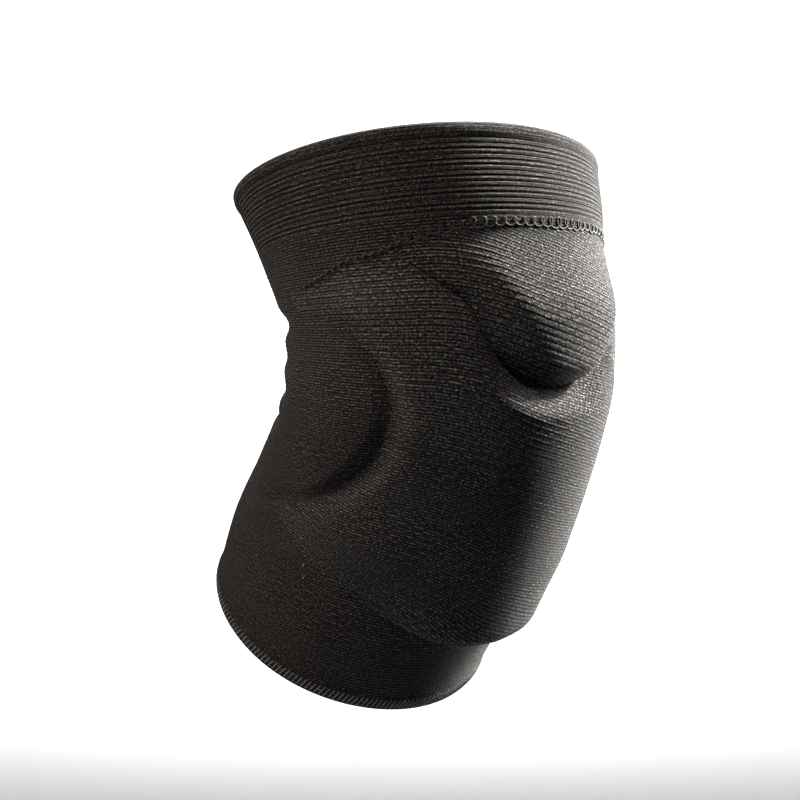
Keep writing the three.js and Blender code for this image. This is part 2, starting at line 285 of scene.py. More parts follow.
def knit_material(name, dark, light, loop, depth, sheen, ridge_highlight_gain, groove_shade=0.0):
    """Knit cloth: dark holes, light loops of a size in millimetres, fibre bloom, and raised rows painted
    lighter, a painted highlight. The last argument, from 0 to 1, is how much darker the cloth is painted
    where no ridge stands: a painted shade in the grooves."""
    material = bpy.data.materials.new(name)
    material.use_nodes = True
    nodes, links = material.node_tree.nodes, material.node_tree.links
    shader = nodes["Principled BSDF"]
    shader.inputs["Roughness"].default_value = KNIT_ROUGHNESS
    shader.inputs["Specular IOR Level"].default_value = KNIT_SPECULAR
    shader.inputs["Sheen Weight"].default_value = sheen
    shader.inputs["Sheen Roughness"].default_value = BLOOM_ROUGHNESS
    shader.inputs["Sheen Tint"].default_value = BLOOM_TINT

    def math_node(operation, *values):
        node = nodes.new("ShaderNodeMath")
        node.operation = operation
        for socket, value in zip(node.inputs, values):
            if isinstance(value, (int, float)):
                socket.default_value = value
            else:
                links.new(value, socket)
        return node.outputs[0]

    def noise(scale, detail, vector):
        node = nodes.new("ShaderNodeTexNoise")
        node.inputs["Scale"].default_value = scale
        node.inputs["Detail"].default_value = detail
        links.new(vector, node.inputs["Vector"])
        return node.outputs["Fac"]

    def wave(value, length):
        return math_node("SINE", math_node("MULTIPLY", value, 2 * math.pi / length))

    cloth_map = nodes.new("ShaderNodeUVMap")
    cloth_map.uv_map = "cloth"
    millimetres = cloth_map.outputs["UV"]
    split = nodes.new("ShaderNodeSeparateXYZ")
    links.new(millimetres, split.inputs[0])
    wander = math_node("MULTIPLY", noise(WANDER_SCALE, 2.0, millimetres), LOOP_WANDER * loop)
    across = math_node("ADD", split.outputs["X"], wander)
    lean = math_node("PINGPONG", across, COLUMN_PITCH / 2 * loop)
    along = math_node("ADD", math_node("ADD", split.outputs["Y"], wander), lean)
    loops = math_node("MULTIPLY", wave(along, ROW_PITCH * loop), wave(lean, COLUMN_PITCH * loop))
    loops = math_node("MULTIPLY_ADD", loops, 0.5, 0.5)
    fuzz = noise(FUZZ_SCALE / loop, 3.0, millimetres)
    patchy = math_node("POWER", math_node("MULTIPLY", fuzz, FUZZ_GAIN), FUZZ_CONTRAST)
    speck = math_node("MULTIPLY", math_node("POWER", loops, LOOP_CONTRAST), patchy)

    bump = nodes.new("ShaderNodeBump")
    bump.inputs["Distance"].default_value = depth
    links.new(math_node("ADD", loops, fuzz), bump.inputs["Height"])
    links.new(bump.outputs["Normal"], shader.inputs["Normal"])

    ridge = nodes.new("ShaderNodeAttribute")
    ridge.attribute_name = "ridge"
    # Raised rows are painted lighter along the "ridge" attribute, broken by noise: a painted highlight.
    painted_ridge_highlight = math_node("MULTIPLY", ridge.outputs["Fac"], noise(BREAK_SCALE, 2.0, millimetres))
    painted_ridge_highlight = math_node("MULTIPLY", painted_ridge_highlight, math_node("MULTIPLY", patchy, ridge_highlight_gain))
    patches = noise(PATCHES_PER_METRE, 3.0, nodes.new("ShaderNodeTexCoord").outputs["Object"])
    light_share = math_node("ADD", speck, painted_ridge_highlight)
    # Off the ridges the cloth can be painted darker: a painted shade in the grooves.
    painted_groove_shade = math_node("MULTIPLY_ADD", ridge.outputs["Fac"], groove_shade, 1 - groove_shade)
    light_share = math_node("MULTIPLY", light_share, painted_groove_shade)
    light_share = math_node("MULTIPLY", light_share, math_node("ADD", patches, 0.5))
    tones = nodes.new("ShaderNodeMix")
    tones.data_type = "RGBA"
    tones.inputs["A"].default_value = (*dark, 1.0)
    tones.inputs["B"].default_value = (*light, 1.0)
    links.new(light_share, tones.inputs["Factor"])
    links.new(tones.outputs["Result"], shader.inputs["Base Color"])
    return material


HOLE = (0.0007, 0.0006, 0.0006)
RIB_KNIT = knit_material(
    "rib_knit", HOLE, (0.064, 0.058, 0.052),
    loop=0.75, depth=0.6 * MM, sheen=0.002, ridge_highlight_gain=0.3, groove_shade=0.8,
)
PLAIN_KNIT = knit_material(
    "plain_knit", HOLE, (0.070, 0.061, 0.055),
    loop=0.8, depth=0.7 * MM, sheen=0.002, ridge_highlight_gain=0.2,
)
COVER_KNIT = knit_material(
    "cover_knit", HOLE, (0.090, 0.083, 0.077),
    loop=0.8, depth=0.75 * MM, sheen=0.003, ridge_highlight_gain=0.35,
)
print("knit finishes:", RIB_KNIT.name, PLAIN_KNIT.name, COVER_KNIT.name)

# %% [markdown]
# ## Knit tubes
# The cuff, the hems and the sleeve are one kind of piece: a wall profile of stations and distances off
# the worn form, carried once round it. A lathe could only make it round and upright, so the profile is
# carried round by the worn form instead. The outer side has many rows, the hidden inner side only a few.

# %% A wall profile carried round the worn form
# LEG_GIRTH is in millimetres of cloth, for the UVs
RING_COLUMNS = 300
LEG_GIRTH = 380.0


def knit_tube(name, at, off, height, columns=RING_COLUMNS, relief=None, rows=None):
    """A closed tube. at, off and height list the wall's profile, relief(angle, at) moves the wall,
    and rows(angle, at) raises rows where height is 1. The height is also painted lighter on the knit, a
    painted highlight."""
    along = np.concatenate([[0], np.cumsum(np.hypot(np.diff(at) * HALF_RISE, np.diff(off)))]) / MM

    def place(u, v):
        step = np.rint(v * (len(at) - 1)).astype(int)
        angle = 360 * u - 180
        ridge = height[step] * (rows(angle, at[step]) if rows else 1)
        out = off[step] + (relief(angle, at[step]) + ROW_RELIEF * ridge if relief else 0)
        return on_leg(angle, at[step], out), np.stack([u * LEG_GIRTH, along[step]], axis=1), ridge

    return cloth(name, columns, len(at) - 1, place)


# %% [markdown]
# ## Ribbed cuff
# The elastic band at the thigh rim is knitted so that its rows stand up as ribs all the way round.
# Fifteen ribs are real relief here, because they make the band's silhouette. The loops between them are
# material. The ribs' tops are also painted lighter and the hollows between them darker, a painted
# highlight and painted shade.

# %% Upper cuff
SEAM_STATION = SEAM[0][1]
GAP = 0.4 * MM
PLAIN_STRIP = 3 * MM
HEM_ROLL = 4.2 * MM
CUFF_WALL = 1.5 * MM
CUFF_RIBS = 15
RIB_RELIEF = 0.55 * MM
RIB_ROUNDNESS = 0.55
STEPS_PER_RIB = 8
INNER_ROWS, INNER_RIDGE = 9, 0.3
SHARE_UNDER_HEM = 0.7
cuff_top = 1 - SHARE_UNDER_HEM * HEM_ROLL / HALF_RISE
cuff_foot = SEAM_STATION + PLAIN_STRIP / HALF_RISE

rib = np.arange(CUFF_RIBS * STEPS_PER_RIB + 1) / STEPS_PER_RIB
# Each rib's height is also its painted lightness: lighter on top, darker in the hollows.
rib_height = np.abs(np.sin(np.pi * rib)) ** RIB_ROUNDNESS
outer_at = cuff_foot + (cuff_top - cuff_foot) * rib / CUFF_RIBS
inner_at = np.linspace(cuff_top, cuff_foot, INNER_ROWS)
cuff = add_piece(
    "ribbed_cuff",
    knit_tube(
        "ribbed_cuff",
        np.concatenate([outer_at, inner_at, outer_at[:1]]),
        np.concatenate([CUFF_WALL + RIB_RELIEF * rib_height, np.zeros(INNER_ROWS), [CUFF_WALL]]),
        np.concatenate([rib_height, np.full(INNER_ROWS, INNER_RIDGE), [0]]),
    ),
    RIB_KNIT, ["upper_cuff"],
)

# %% [markdown]
# ## Rolled top hem
# The band's free edge is folded over and sewn down, which leaves a soft roll along the rim. Its upper
# outer side is painted lighter and its lower inner side darker, a painted highlight and painted shade.

# %% Top hem
HEM_SIDES = 24
HEM_FLATNESS = 0.62
# The painted lightness of the roll swings round it and is highest on its upper outer side.
HEM_RIDGE, HEM_HIGHLIGHT_SWING, HEM_HIGHLIGHT_TURN = 0.75, 0.25, 0.8
turn = np.linspace(0, 2 * np.pi, HEM_SIDES + 1)
top_hem = add_piece(
    "rolled_hem",
    knit_tube(
        "rolled_hem",
        1 - HEM_ROLL / 2 / HALF_RISE * (1 - np.sin(turn)),
        HEM_ROLL / 2 * HEM_FLATNESS * (1 + np.cos(turn)),
        HEM_RIDGE + HEM_HIGHLIGHT_SWING * np.cos(turn - HEM_HIGHLIGHT_TURN),
    ),
    RIB_KNIT, ["top_hem"],
)

# %% [markdown]
# ## Plain sleeve
# One knitted tube runs from the ribs down to the shin rim. A row of the knit keeps one station all the
# way round, so the rows lie far apart over the front and crowd together in the creases behind, as they
# do on the real sleeve. The rows stand up most over the upper half, where the cloth is pulled tight.

# %% Rows of the knit
SLEEVE_WALL = 2.0 * MM
BOTTOM_HEM_HEIGHT = 3.6 * MM
ROWS_PER_STATION = 50
ROW_RELIEF = 0.22 * MM
# The rows slope over the front: they have slipped by nothing at LEVEL_AT, and by more on the far side
ROW_SLOPE, LEVEL_AT = 0.0028, -45
ROW_THINNESS = 6
LOW_RIDGE = 0.15
sleeve_foot = -1 + (BOTTOM_HEM_HEIGHT + GAP) / HALF_RISE


def row_drift(angle):
    """How many stations a row has slipped down at an angle; the cloth is pulled a little askew in front."""
    return ROW_SLOPE * (angle - LEVEL_AT) * smoothstep(angle, -60, -10) * (1 - smoothstep(angle, 60, 120))


# The raised rows' height is also painted onto the knit as lighter lines, a painted highlight.
def row_ridge(angle, at):
    """Height of the raised rows, from 0 to 1: thin lines that slope a little across the front."""
    phase = ROWS_PER_STATION * (at + row_drift(angle))
    thin = np.abs(np.sin(np.pi * phase)) ** ROW_THINNESS
    tight = LOW_RIDGE + (1 - LOW_RIDGE) * smoothstep(at, -0.15, 0.3)
    return thin * tight * (1 - smoothstep(at, 0.6, 0.66))


print("raised rows between the rims:", 2 * ROWS_PER_STATION)

# %% [markdown]
# ## Windows in the wings
# Between the two arms of a wing there is no foam, and the thin knit there puffs out a little as the bend
# pushes it. Its height depends on how far a point lies from the edge of the foam, which is found with a
# KD tree of edge points. At the edge itself the cloth keeps one height on both sides: it dips into a
# crease at the lower end and spans the crease at the upper one.

# %% Distance from an edge, and the puff in each window
def swell(inset, width):
    """A soft rise, from 0 at the edge to 1 at its full width."""
    return smoothstep(inset, 0, width)


def edge_finder(angle, at):
    """A function that gives the distance of points from an edge, which lies on both sides of the part."""
    both = np.concatenate([on_leg(angle, at, 0 * at), on_leg(-angle, at, 0 * at)])
    tree = KDTree(len(both))
    for i, point in enumerate(both):
        tree.insert(point, i)
    tree.balance()
    return lambda points: np.array([tree.find(p)[2] for p in points])


WINDOW_PUFF = 4.0 * MM
PUFF_SWELL = 6 * MM
WINDOW_BRIDGE = 0.5
PUFF_HEIGHT_SHARE = 1.25
PUFF_FADE_FROM, PUFF_FADE_TO, PUFF_END = 0.95, 1.3, 1.35
EDGE_POINTS = 400
share = np.linspace(0, 1, EDGE_POINTS)
wing_at = WING_EDGE[0][0] + share * (WING_EDGE[-1][0] - WING_EDGE[0][0])
wing_angle = curve(WING_EDGE, wing_at) * WING_REACH
window_rim = on_leg(wing_angle, wing_at, 0 * wing_at)
from_window = edge_finder(wing_angle, wing_at)


def window_puff(angle, at):
    """How far the knit of a window stands off the wall, away from the window's edge."""
    reach = np.abs(angle) / WING_REACH
    upward = (at - WINDOW_AT) / (PUFF_HEIGHT_SHARE * WINDOW_HALF_HEIGHT)
    return WINDOW_PUFF * (1 - smoothstep(reach, PUFF_FADE_FROM, PUFF_FADE_TO)) * np.exp(-upward ** 2)


def window_edge(angle, at):
    """The height at the window's edge itself: a crease below, but spanned by the cloth above."""
    return WINDOW_BRIDGE * smoothstep(at, -0.1, 0.2) * window_puff(angle, at)


def sleeve_relief(angle, at):
    """The creases behind, and the puff of thin knit between the arms of a wing."""
    reach = np.abs(angle) / WING_REACH
    between = (at > wing_at[0]) & (at < wing_at[-1])
    inside = between & (reach > curve(WING_EDGE, at)) & (reach < PUFF_END)
    rise = np.zeros(len(at))
    rise[inside] = swell(from_window(on_leg(angle[inside], at[inside], 0 * at[inside])), PUFF_SWELL)
    puff = rise * window_puff(angle, at) + (1 - rise) * window_edge(angle, at)
    return knit_relief(angle, at) + inside * puff


print("round a window's edge, mm:", round(np.linalg.norm(np.diff(window_rim, axis=0), axis=1).sum() / MM))

# %% [markdown]
# ## The tube of the sleeve
# The outer side has three hundred rows, so that the raised rows and the creases are real relief. The
# tube goes on a little under the cuff and under the shin hem, thinned to a tongue, so that no light
# shows between them.

# %% Sleeve
OUTER_ROWS, LINING_ROWS, SLEEVE_COLUMNS = 301, 24, 280
TUCK = 1.6 * MM
TONGUE_IN, TONGUE_TOP, TONGUE_FOOT = 0.3 * MM, 1.2 * MM, 1.3 * MM
tongue_foot_at = sleeve_foot - TUCK / HALF_RISE
tongue_top_at = cuff_foot + TUCK / HALF_RISE
sleeve_at = np.concatenate([
    [tongue_foot_at], np.linspace(sleeve_foot, cuff_foot, OUTER_ROWS), [tongue_top_at] * 2,
    np.linspace(cuff_foot, sleeve_foot, LINING_ROWS), [tongue_foot_at] * 2,
])
sleeve_off = np.concatenate([
    [TONGUE_FOOT], np.full(OUTER_ROWS, SLEEVE_WALL), [TONGUE_TOP, TONGUE_IN],
    np.zeros(LINING_ROWS), [TONGUE_IN, TONGUE_FOOT],
])
on_show = np.concatenate([[0], np.ones(OUTER_ROWS), np.zeros(LINING_ROWS + 4)])
sleeve = add_piece(
    "plain_sleeve",
    knit_tube(
        "plain_sleeve", sleeve_at, sleeve_off, on_show,
        columns=SLEEVE_COLUMNS, relief=sleeve_relief, rows=row_ridge,
    ),
    PLAIN_KNIT, ["sleeve"],
)

# %% [markdown]
# ## Bottom hem
# The shin edge is cut and bound with an overlock stitch: the cloth ends in a low blunt band, and thread
# loops wrap over it.

# %% Bottom hem band
BOTTOM_HEM_WALL = 2.6 * MM
BOTTOM_HEM_EDGE = 2.1 * MM
HEM_STEPS = 13
HEM_OUTER_RIDGE, HEM_INNER_RIDGE = 0.4, 0.2
hem_turn = np.linspace(0, np.pi, HEM_STEPS)
hem_top = sleeve_foot
hem_outer_off = BOTTOM_HEM_EDGE + (BOTTOM_HEM_WALL - BOTTOM_HEM_EDGE) * np.sin(hem_turn)
bottom_hem = add_piece(
    "shin_hem",
    knit_tube(
        "shin_hem",
        np.concatenate([-1 + (hem_top + 1) * (1 - np.cos(hem_turn)) / 2, [hem_top, -1, -1]]),
        np.concatenate([hem_outer_off, [0, 0, BOTTOM_HEM_EDGE]]),
        np.concatenate([
            np.full(HEM_STEPS, HEM_OUTER_RIDGE), [HEM_INNER_RIDGE, HEM_INNER_RIDGE, HEM_OUTER_RIDGE],
        ]),
    ),
    PLAIN_KNIT, ["bottom_hem"],
)

# %% [markdown]
# ## Foam pads under their cover
# A pad is sheet foam under a knit cover that is sewn down all round. The cover pulls the foam's edge
# into a rounded shoulder, so a point's height depends on how far it lies from the pad's edge. Where two
# edges are equally near, that height has a sharp bend, so the heights are then averaged on the grid, as
# a stretched cover would smooth them. The dense front is joined to a coarse back by `bridge_loops`,
# which gives one closed form.

# %% A helper that makes a closed pad
COVER = 0.06 * MM
BACK_STEPS = 6


def shoulder(inset, width):
    """A quarter-round shoulder, from 0 at the edge to 1 at its full width."""
    short = 1 - np.clip(inset / width, 0, 1)
    return np.sqrt(1 - short * short)


def relax(heights, passes):
    """Heights on a grid, averaged with their neighbours again and again; the grid's rim keeps its own."""
    for _ in range(passes):
        wide = np.pad(heights, 1, mode="reflect", reflect_type="odd")
        heights = heights / 2 + (wide[:-2, 1:-1] + wide[2:, 1:-1] + wide[1:-1, :-2] + wide[1:-1, 2:]) / 8
    return heights


def pad_mesh(name, columns, rows, place, thickness, droop, passes):
    """A closed pad. place(u, v) gives angle and station, and thickness(angle, at, points) the height."""
    def surface(u, v, front):
        angle, at = place(u, v)
        ridge = front * row_ridge(angle, at)
        seat = SLEEVE_WALL + knit_relief(angle, at)
        height = 0 * at
        if front:
            foam = thickness(angle, at, on_leg(angle, at, 0 * at)).reshape(rows + 1, columns + 1)
            height = COVER + relax(foam, passes).ravel() + ROW_RELIEF * ridge
        lowered = at - front * droop(angle, at) / HALF_RISE
        uv = np.stack([angle / 360 * LEG_GIRTH, (at + row_drift(angle)) * HALF_RISE / MM], axis=1)
        return on_leg(angle, lowered, seat + height), uv, ridge

    mesh = cloth(name, columns, rows, lambda u, v: surface(u, v, 1), welded=False)
    lining = cloth(
        name + "_back", columns // BACK_STEPS, rows // BACK_STEPS,
        lambda u, v: surface(u, v, 0), welded=False,
    )
    bm = bmesh.new()
    bm.from_mesh(mesh)
    bm.from_mesh(lining)
    bpy.data.meshes.remove(lining)
    bmesh.ops.bridge_loops(bm, edges=[e for e in bm.edges if e.is_boundary])
    bmesh.ops.recalc_face_normals(bm, faces=bm.faces)
    print(name, "open edges:", sum(e.is_boundary for e in bm.edges))
    bm.to_mesh(mesh)
    bm.free()
    return mesh


# %% [markdown]
# ## Knee pad
# The main foam covers the kneecap and the top of the shin. Its ridge under the valley is firm in front
# and softer to the sides, and its lower lip is blunt and droops a little. Everywhere else the cover lets
# it fade softly into the sleeve: along the seam, round each window and at the wing tips.

# %% Edges of the knee pad
PAD_THICKNESS = 13.8 * MM
SEAM_SWELL = 22 * MM
WINDOW_SWELL = 10 * MM
TIP_SWELL = 26 * MM
LIP_SHOULDER = 7 * MM
RIDGE_SHOULDER, RIDGE_FADE = 11 * MM, 24 * MM
FLOOR_RISE = 4.5 * MM
LIP_DROOP = 4 * MM
LIP_FULL, LIP_NONE = 12, 55
DROOP_FULL, DROOP_NONE = -0.68, -0.5
RIDGE_ROUND = 0.55
RIDGE_SOFT_FROM, RIDGE_SOFT_TO, NEAR_SOFTNESS = 18, 44, 0.3
FLOOR_FROM, FLOOR_TO = 27, 46
FLOOR_FULL, FLOOR_NONE = 0.5, 0.62
MERGE = 0.03
KNEE_COLUMNS, KNEE_ROWS, KNEE_PASSES = 228, 384, 12

from_valley = edge_finder(share * VALLEY_REACH * WING_REACH, curve(VALLEY, share * VALLEY_REACH))
wing_share = VALLEY_REACH + share * (1 - VALLEY_REACH)
from_wing_seam = edge_finder(wing_share * WING_REACH, curve(SEAM, wing_share))
from_lower_edge = edge_finder(share * WING_REACH, curve(LOWER_EDGE, share))


def knee_place(u, v):
    """Angle and station on the knee pad: the middle half of the grid is the front, the rest the wings."""
    spread = np.abs(2 * u - 1)
    middle = 2 * np.minimum(spread, 0.5)
    wing = 2 * spread - middle
    reach = middle * VALLEY_REACH * (1 - wing) + wing
    blend = smoothstep(reach, VALLEY_REACH, VALLEY_REACH + MERGE)
    top = curve(VALLEY, reach) * (1 - blend) + curve(SEAM, reach) * blend
    low = curve(LOWER_EDGE, reach)
    at = low + (top - low) * v
    outer = curve(WING_EDGE, at)
    return np.sign(2 * u - 1) * WING_REACH * (middle * VALLEY_REACH * (1 - wing) + outer * wing), at


def lip_share(angle):
    """1 at the blunt front of the lower lip, 0 where the lower edge fades out softly."""
    return 1 - smoothstep(np.abs(angle), LIP_FULL, LIP_NONE)


def valley_floor(angle, at):
    """Height left under the cover where the valley runs out toward the seam, on the far side only."""
    far_side = np.where(angle > 0, 1.0, 0.0)
    spread = far_side * smoothstep(np.abs(angle), FLOOR_FROM, FLOOR_TO)
    return FLOOR_RISE * spread * (1 - smoothstep(at, FLOOR_FULL, FLOOR_NONE))


def knee_thickness(angle, at, points):
    """Height of the knee pad, from its distance to the lower edge, the valley, the seam and the window."""
    full = PAD_THICKNESS * curve(PAD_FULLNESS, np.abs(angle) / WING_REACH)
    low = from_lower_edge(points)
    lip = lip_share(angle)
    low_rise = lip * shoulder(low, LIP_SHOULDER) + (1 - lip) * swell(low, TIP_SWELL)
    ridge = from_valley(points)
    softness = np.where(angle > 0, 1.0, NEAR_SOFTNESS)
    fading = softness * smoothstep(np.abs(angle), RIDGE_SOFT_FROM, RIDGE_SOFT_TO)
    width = RIDGE_SHOULDER + (RIDGE_FADE - RIDGE_SHOULDER) * fading
    ridge_rise = RIDGE_ROUND * shoulder(ridge, width) + (1 - RIDGE_ROUND) * swell(ridge, width)
    foam = full * low_rise * ridge_rise * swell(from_wing_seam(points), SEAM_SWELL)
    rise = swell(from_window(points), WINDOW_SWELL)
    foam = foam * rise + (1 - rise) * window_edge(angle, at)
    return np.maximum(foam, valley_floor(angle, at) * (1 - smoothstep(ridge, 0, RIDGE_FADE)))


def knee_droop(angle, at):
    """How far the lower lip hangs down."""
    return LIP_DROOP * lip_share(angle) * (1 - smoothstep(at, DROOP_FULL, DROOP_NONE))


knee_pad = add_piece(
    "knee_cover",
    pad_mesh(
        "knee_cover", KNEE_COLUMNS, KNEE_ROWS, knee_place, knee_thickness, knee_droop, KNEE_PASSES,
    ),
    COVER_KNIT, ["knee_pad"],
)

# %% [markdown]
# ## Thigh pad
# A smaller, rounder tongue of foam hangs from the seam down to the valley. It swells slowly out of the
# seam and falls in one broad slope toward the valley.

# %% Thigh pad
LOBE_THICKNESS = 12.5 * MM
LOBE_FOOT, LOBE_FLANK = 9 * MM, 21 * MM
LOBE_SWELL = 36 * MM
LOBE_ROUND = 0.6
FLANK_FROM, FLANK_TO = 8, 34
THIGH_COLUMNS, THIGH_ROWS, THIGH_PASSES = 160, 156, 60
seam_share = share * VALLEY_REACH
from_lobe_seam = edge_finder(seam_share * WING_REACH, curve(SEAM, seam_share))


def thigh_place(u, v):
    """Angle and station on the thigh pad, which lies between the valley and the seam."""
    reach = np.abs(2 * u - 1) * VALLEY_REACH
    foot, top = curve(VALLEY, reach), curve(SEAM, reach)
    return (2 * u - 1) * VALLEY_REACH * WING_REACH, foot + (top - foot) * v


def thigh_thickness(angle, at, points):
    """Height of the thigh pad: steep at its foot, broad along its flanks."""
    width = LOBE_FOOT + (LOBE_FLANK - LOBE_FOOT) * smoothstep(np.abs(angle), FLANK_FROM, FLANK_TO)
    edge = from_valley(points)
    slope = LOBE_ROUND * shoulder(edge, width) + (1 - LOBE_ROUND) * swell(edge, width)
    foam = LOBE_THICKNESS * slope * swell(from_lobe_seam(points), LOBE_SWELL)
    return np.maximum(foam, valley_floor(angle, at) * (1 - smoothstep(edge, 0, LOBE_FLANK)))


def no_droop(angle, at):
    """The thigh pad is held all round, so no edge of it hangs."""
    return 0 * at


thigh_pad = add_piece(
    "thigh_cover",
    pad_mesh(
        "thigh_cover", THIGH_COLUMNS, THIGH_ROWS, thigh_place, thigh_thickness, no_droop, THIGH_PASSES,
    ),
    COVER_KNIT, ["thigh_pad"],
)

# %% [markdown]
# ## Thread
# Sewing thread is the smallest thing the eye can still make out here, and it tells where one cloth meets
# the next. A wrapped edge is a coil: one thread runs round the rim and circles it as it goes. A row of
# separate stitches is a row of small beads, each turned to the slope of its stitch. Both are laid out in
# angle and station, like the cloth under them.

# %% Thread material and helpers
THREAD_ROUGHNESS, THREAD_SPECULAR = 0.75, 0.1
TWIST_DEPTH = 0.1 * MM


def thread_material(name, dark, light, twist):
    """Twisted thread: two tones and a bump from one fine noise, with grains of about 1 / twist metres."""
    material = bpy.data.materials.new(name)
    material.use_nodes = True
    nodes, links = material.node_tree.nodes, material.node_tree.links
    shader = nodes["Principled BSDF"]
    shader.inputs["Roughness"].default_value = THREAD_ROUGHNESS
    shader.inputs["Specular IOR Level"].default_value = THREAD_SPECULAR
    fibre = nodes.new("ShaderNodeTexNoise")
    fibre.inputs["Scale"].default_value = twist
    links.new(nodes.new("ShaderNodeTexCoord").outputs["Object"], fibre.inputs["Vector"])
    tones = nodes.new("ShaderNodeMix")
    tones.data_type = "RGBA"
    tones.inputs["A"].default_value = (*dark, 1.0)
    tones.inputs["B"].default_value = (*light, 1.0)
    links.new(fibre.outputs["Fac"], tones.inputs["Factor"])
    links.new(tones.outputs["Result"], shader.inputs["Base Color"])
    bump = nodes.new("ShaderNodeBump")
    bump.inputs["Distance"].default_value = TWIST_DEPTH
    links.new(fibre.outputs["Fac"], bump.inputs["Height"])
    links.new(bump.outputs["Normal"], shader.inputs["Normal"])
    return material


def thread_run(name, points, radius, closed, material):
    """A thread of round section along a list of points."""
    data = bpy.data.curves.new(name, "CURVE")
    data.dimensions = "3D"
    data.bevel_depth = radius
    data.bevel_resolution = 1
    data.use_fill_caps = not closed
    spline = data.splines.new("POLY")
    spline.points.add(len(points) - 1)
    spline.points.foreach_set("co", np.column_stack([points, np.ones(len(points))]).ravel())
    spline.use_cyclic_u = closed
    run = bpy.data.objects.new(name + "_run", data)
    bpy.context.scene.collection.objects.link(run)
    mesh = bpy.data.meshes.new_from_object(run.evaluated_get(bpy.context.evaluated_depsgraph_get()))
    bpy.data.objects.remove(run)
    bpy.data.curves.remove(data)
    return add_piece(name, mesh, material)


def stitch_row(name, rows, size, material):
    """Beads of one size (length, width, height). rows lists angle, station, off and lean in degrees."""
    angle, at, off, lean = np.asarray(rows, dtype=float).T
    points = on_leg(angle, at, off)
    around = on_leg(angle + 0.5, at, off) - on_leg(angle - 0.5, at, off)
    outward = np.cross(around, on_leg(angle, at + 0.01, off) - on_leg(angle, at - 0.01, off))
    bm = bmesh.new()
    for point, along, out, turn in zip(points, around, outward, np.radians(lean)):
        out = Vector(out).normalized()
        along = Matrix.Rotation(turn, 3, out) @ Vector(along).normalized()
        axes = Matrix((along * size[0], out.cross(along) * size[1], out * size[2]))
        bmesh.ops.create_uvsphere(
            bm, u_segments=6, v_segments=4, radius=0.5,
            matrix=Matrix.Translation(point) @ axes.transposed().to_4x4(),
        )
    mesh = bpy.data.meshes.new(name)
    bm.to_mesh(mesh)
    bm.free()
    return add_piece(name, mesh, material)


GREY_THREAD = thread_material("grey_thread", (0.015, 0.014, 0.013), (0.09, 0.083, 0.077), 900)
DARK_THREAD = thread_material("dark_thread", (0.0007, 0.0007, 0.0007), (0.011, 0.010, 0.009), 1400)
print("threads:", GREY_THREAD.name, DARK_THREAD.name)

# %% [markdown]
# ## Overlock on the shin hem
# The cut edge is wrapped by an overlock thread, about one turn every two millimetres. Its outer side
# leans, as the machine moves on while the needle rises.

# %% Overlock thread
OVERLOCK_TURNS = 178
OVERLOCK_STEPS = 10
OVERLOCK_LEAN = 0.8
OVERLOCK_RADIUS = 0.24 * MM
OVERLOCK_PAST_EDGE, OVERLOCK_OFF_WALL = 0.1 * MM, 0.12 * MM
stitch = np.arange(OVERLOCK_TURNS * OVERLOCK_STEPS) / OVERLOCK_STEPS
circle = 2 * np.pi * stitch
half_height = (hem_top + 1) / 2
thread_run(
    "overlock_thread",
    on_leg(
        360 * stitch / OVERLOCK_TURNS + OVERLOCK_LEAN * np.sin(circle),
        -1 + half_height + (half_height + OVERLOCK_PAST_EDGE / HALF_RISE) * np.sin(circle),
        BOTTOM_HEM_WALL / 2 + (BOTTOM_HEM_WALL / 2 + OVERLOCK_OFF_WALL) * np.cos(circle),
    ),
    OVERLOCK_RADIUS, True, GREY_THREAD,
)

# %% [markdown]
# ## Dashes on the top hem
# The roll of the top rim is sewn down from behind, and only short dashes of its thread come up, close
# to the rim.

# %% Hem dashes
# A stitch's size is its length, width and height
HEM_DASHES = 320
DASH_SIZE = (1.1 * MM, 0.45 * MM, 0.5 * MM)
DASH_BELOW_RIM, DASH_OFF, DASH_LEAN = 0.6 * MM, 2.2 * MM, 30
dash_angle = np.arange(HEM_DASHES) * 360 / HEM_DASHES
stitch_row(
    "hem_dashes",
    [(a, 1 - DASH_BELOW_RIM / HALF_RISE, DASH_OFF, DASH_LEAN) for a in dash_angle],
    DASH_SIZE, GREY_THREAD,
)

# %% [markdown]
# ## Linking seam
# The cover is joined to the strip under the ribs by linking, which leaves a raised row of small round
# loops across the front. The loops are one thread that circles while it moves on, and no two of them
# are quite the same size.

# %% Loops across the front
LOOP_REACH = 57
LOOP_PITCH = 3.5
LOOP_SIZE = 1.5 * MM
LOOP_STEPS = 12
LOOP_LIFT, LOOP_OFF = 1.2 * MM, 0.1 * MM
LOOP_RADIUS = 0.42 * MM
LEAST_LOOP, LARGEST_LOOP = 0.6, 1.15
SEAM_RADIUS_MM = 62
loop_count = round(2 * LOOP_REACH / LOOP_PITCH)
stitch = np.arange(loop_count * LOOP_STEPS + 1) / LOOP_STEPS
circle = 2 * np.pi * stitch
loop_sizes = np.random.default_rng(7).uniform(LEAST_LOOP, LARGEST_LOOP, loop_count + 1)
uneven = np.interp(stitch, np.arange(loop_count + 1), loop_sizes)
sideways = np.degrees(LOOP_SIZE / SEAM_RADIUS_MM / MM) * uneven * np.cos(circle)
loop_angle = -LOOP_REACH + LOOP_PITCH * stitch + sideways
loop_lift = LOOP_LIFT + LOOP_SIZE * uneven * np.sin(circle)
loop_at = curve(SEAM, np.abs(loop_angle) / WING_REACH) + loop_lift / HALF_RISE
thread_run(
    "seam_loops", on_leg(loop_angle, loop_at, SLEEVE_WALL + LOOP_OFF + 0 * loop_at),
    LOOP_RADIUS, False, DARK_THREAD,
)

# %% [markdown]
# ## Rope stitches along the wings
# Past the front the same seam is worked in fat slanted stitches that lie side by side like the strands
# of a rope. Each is one bead, and the slant changes sides with the wing.

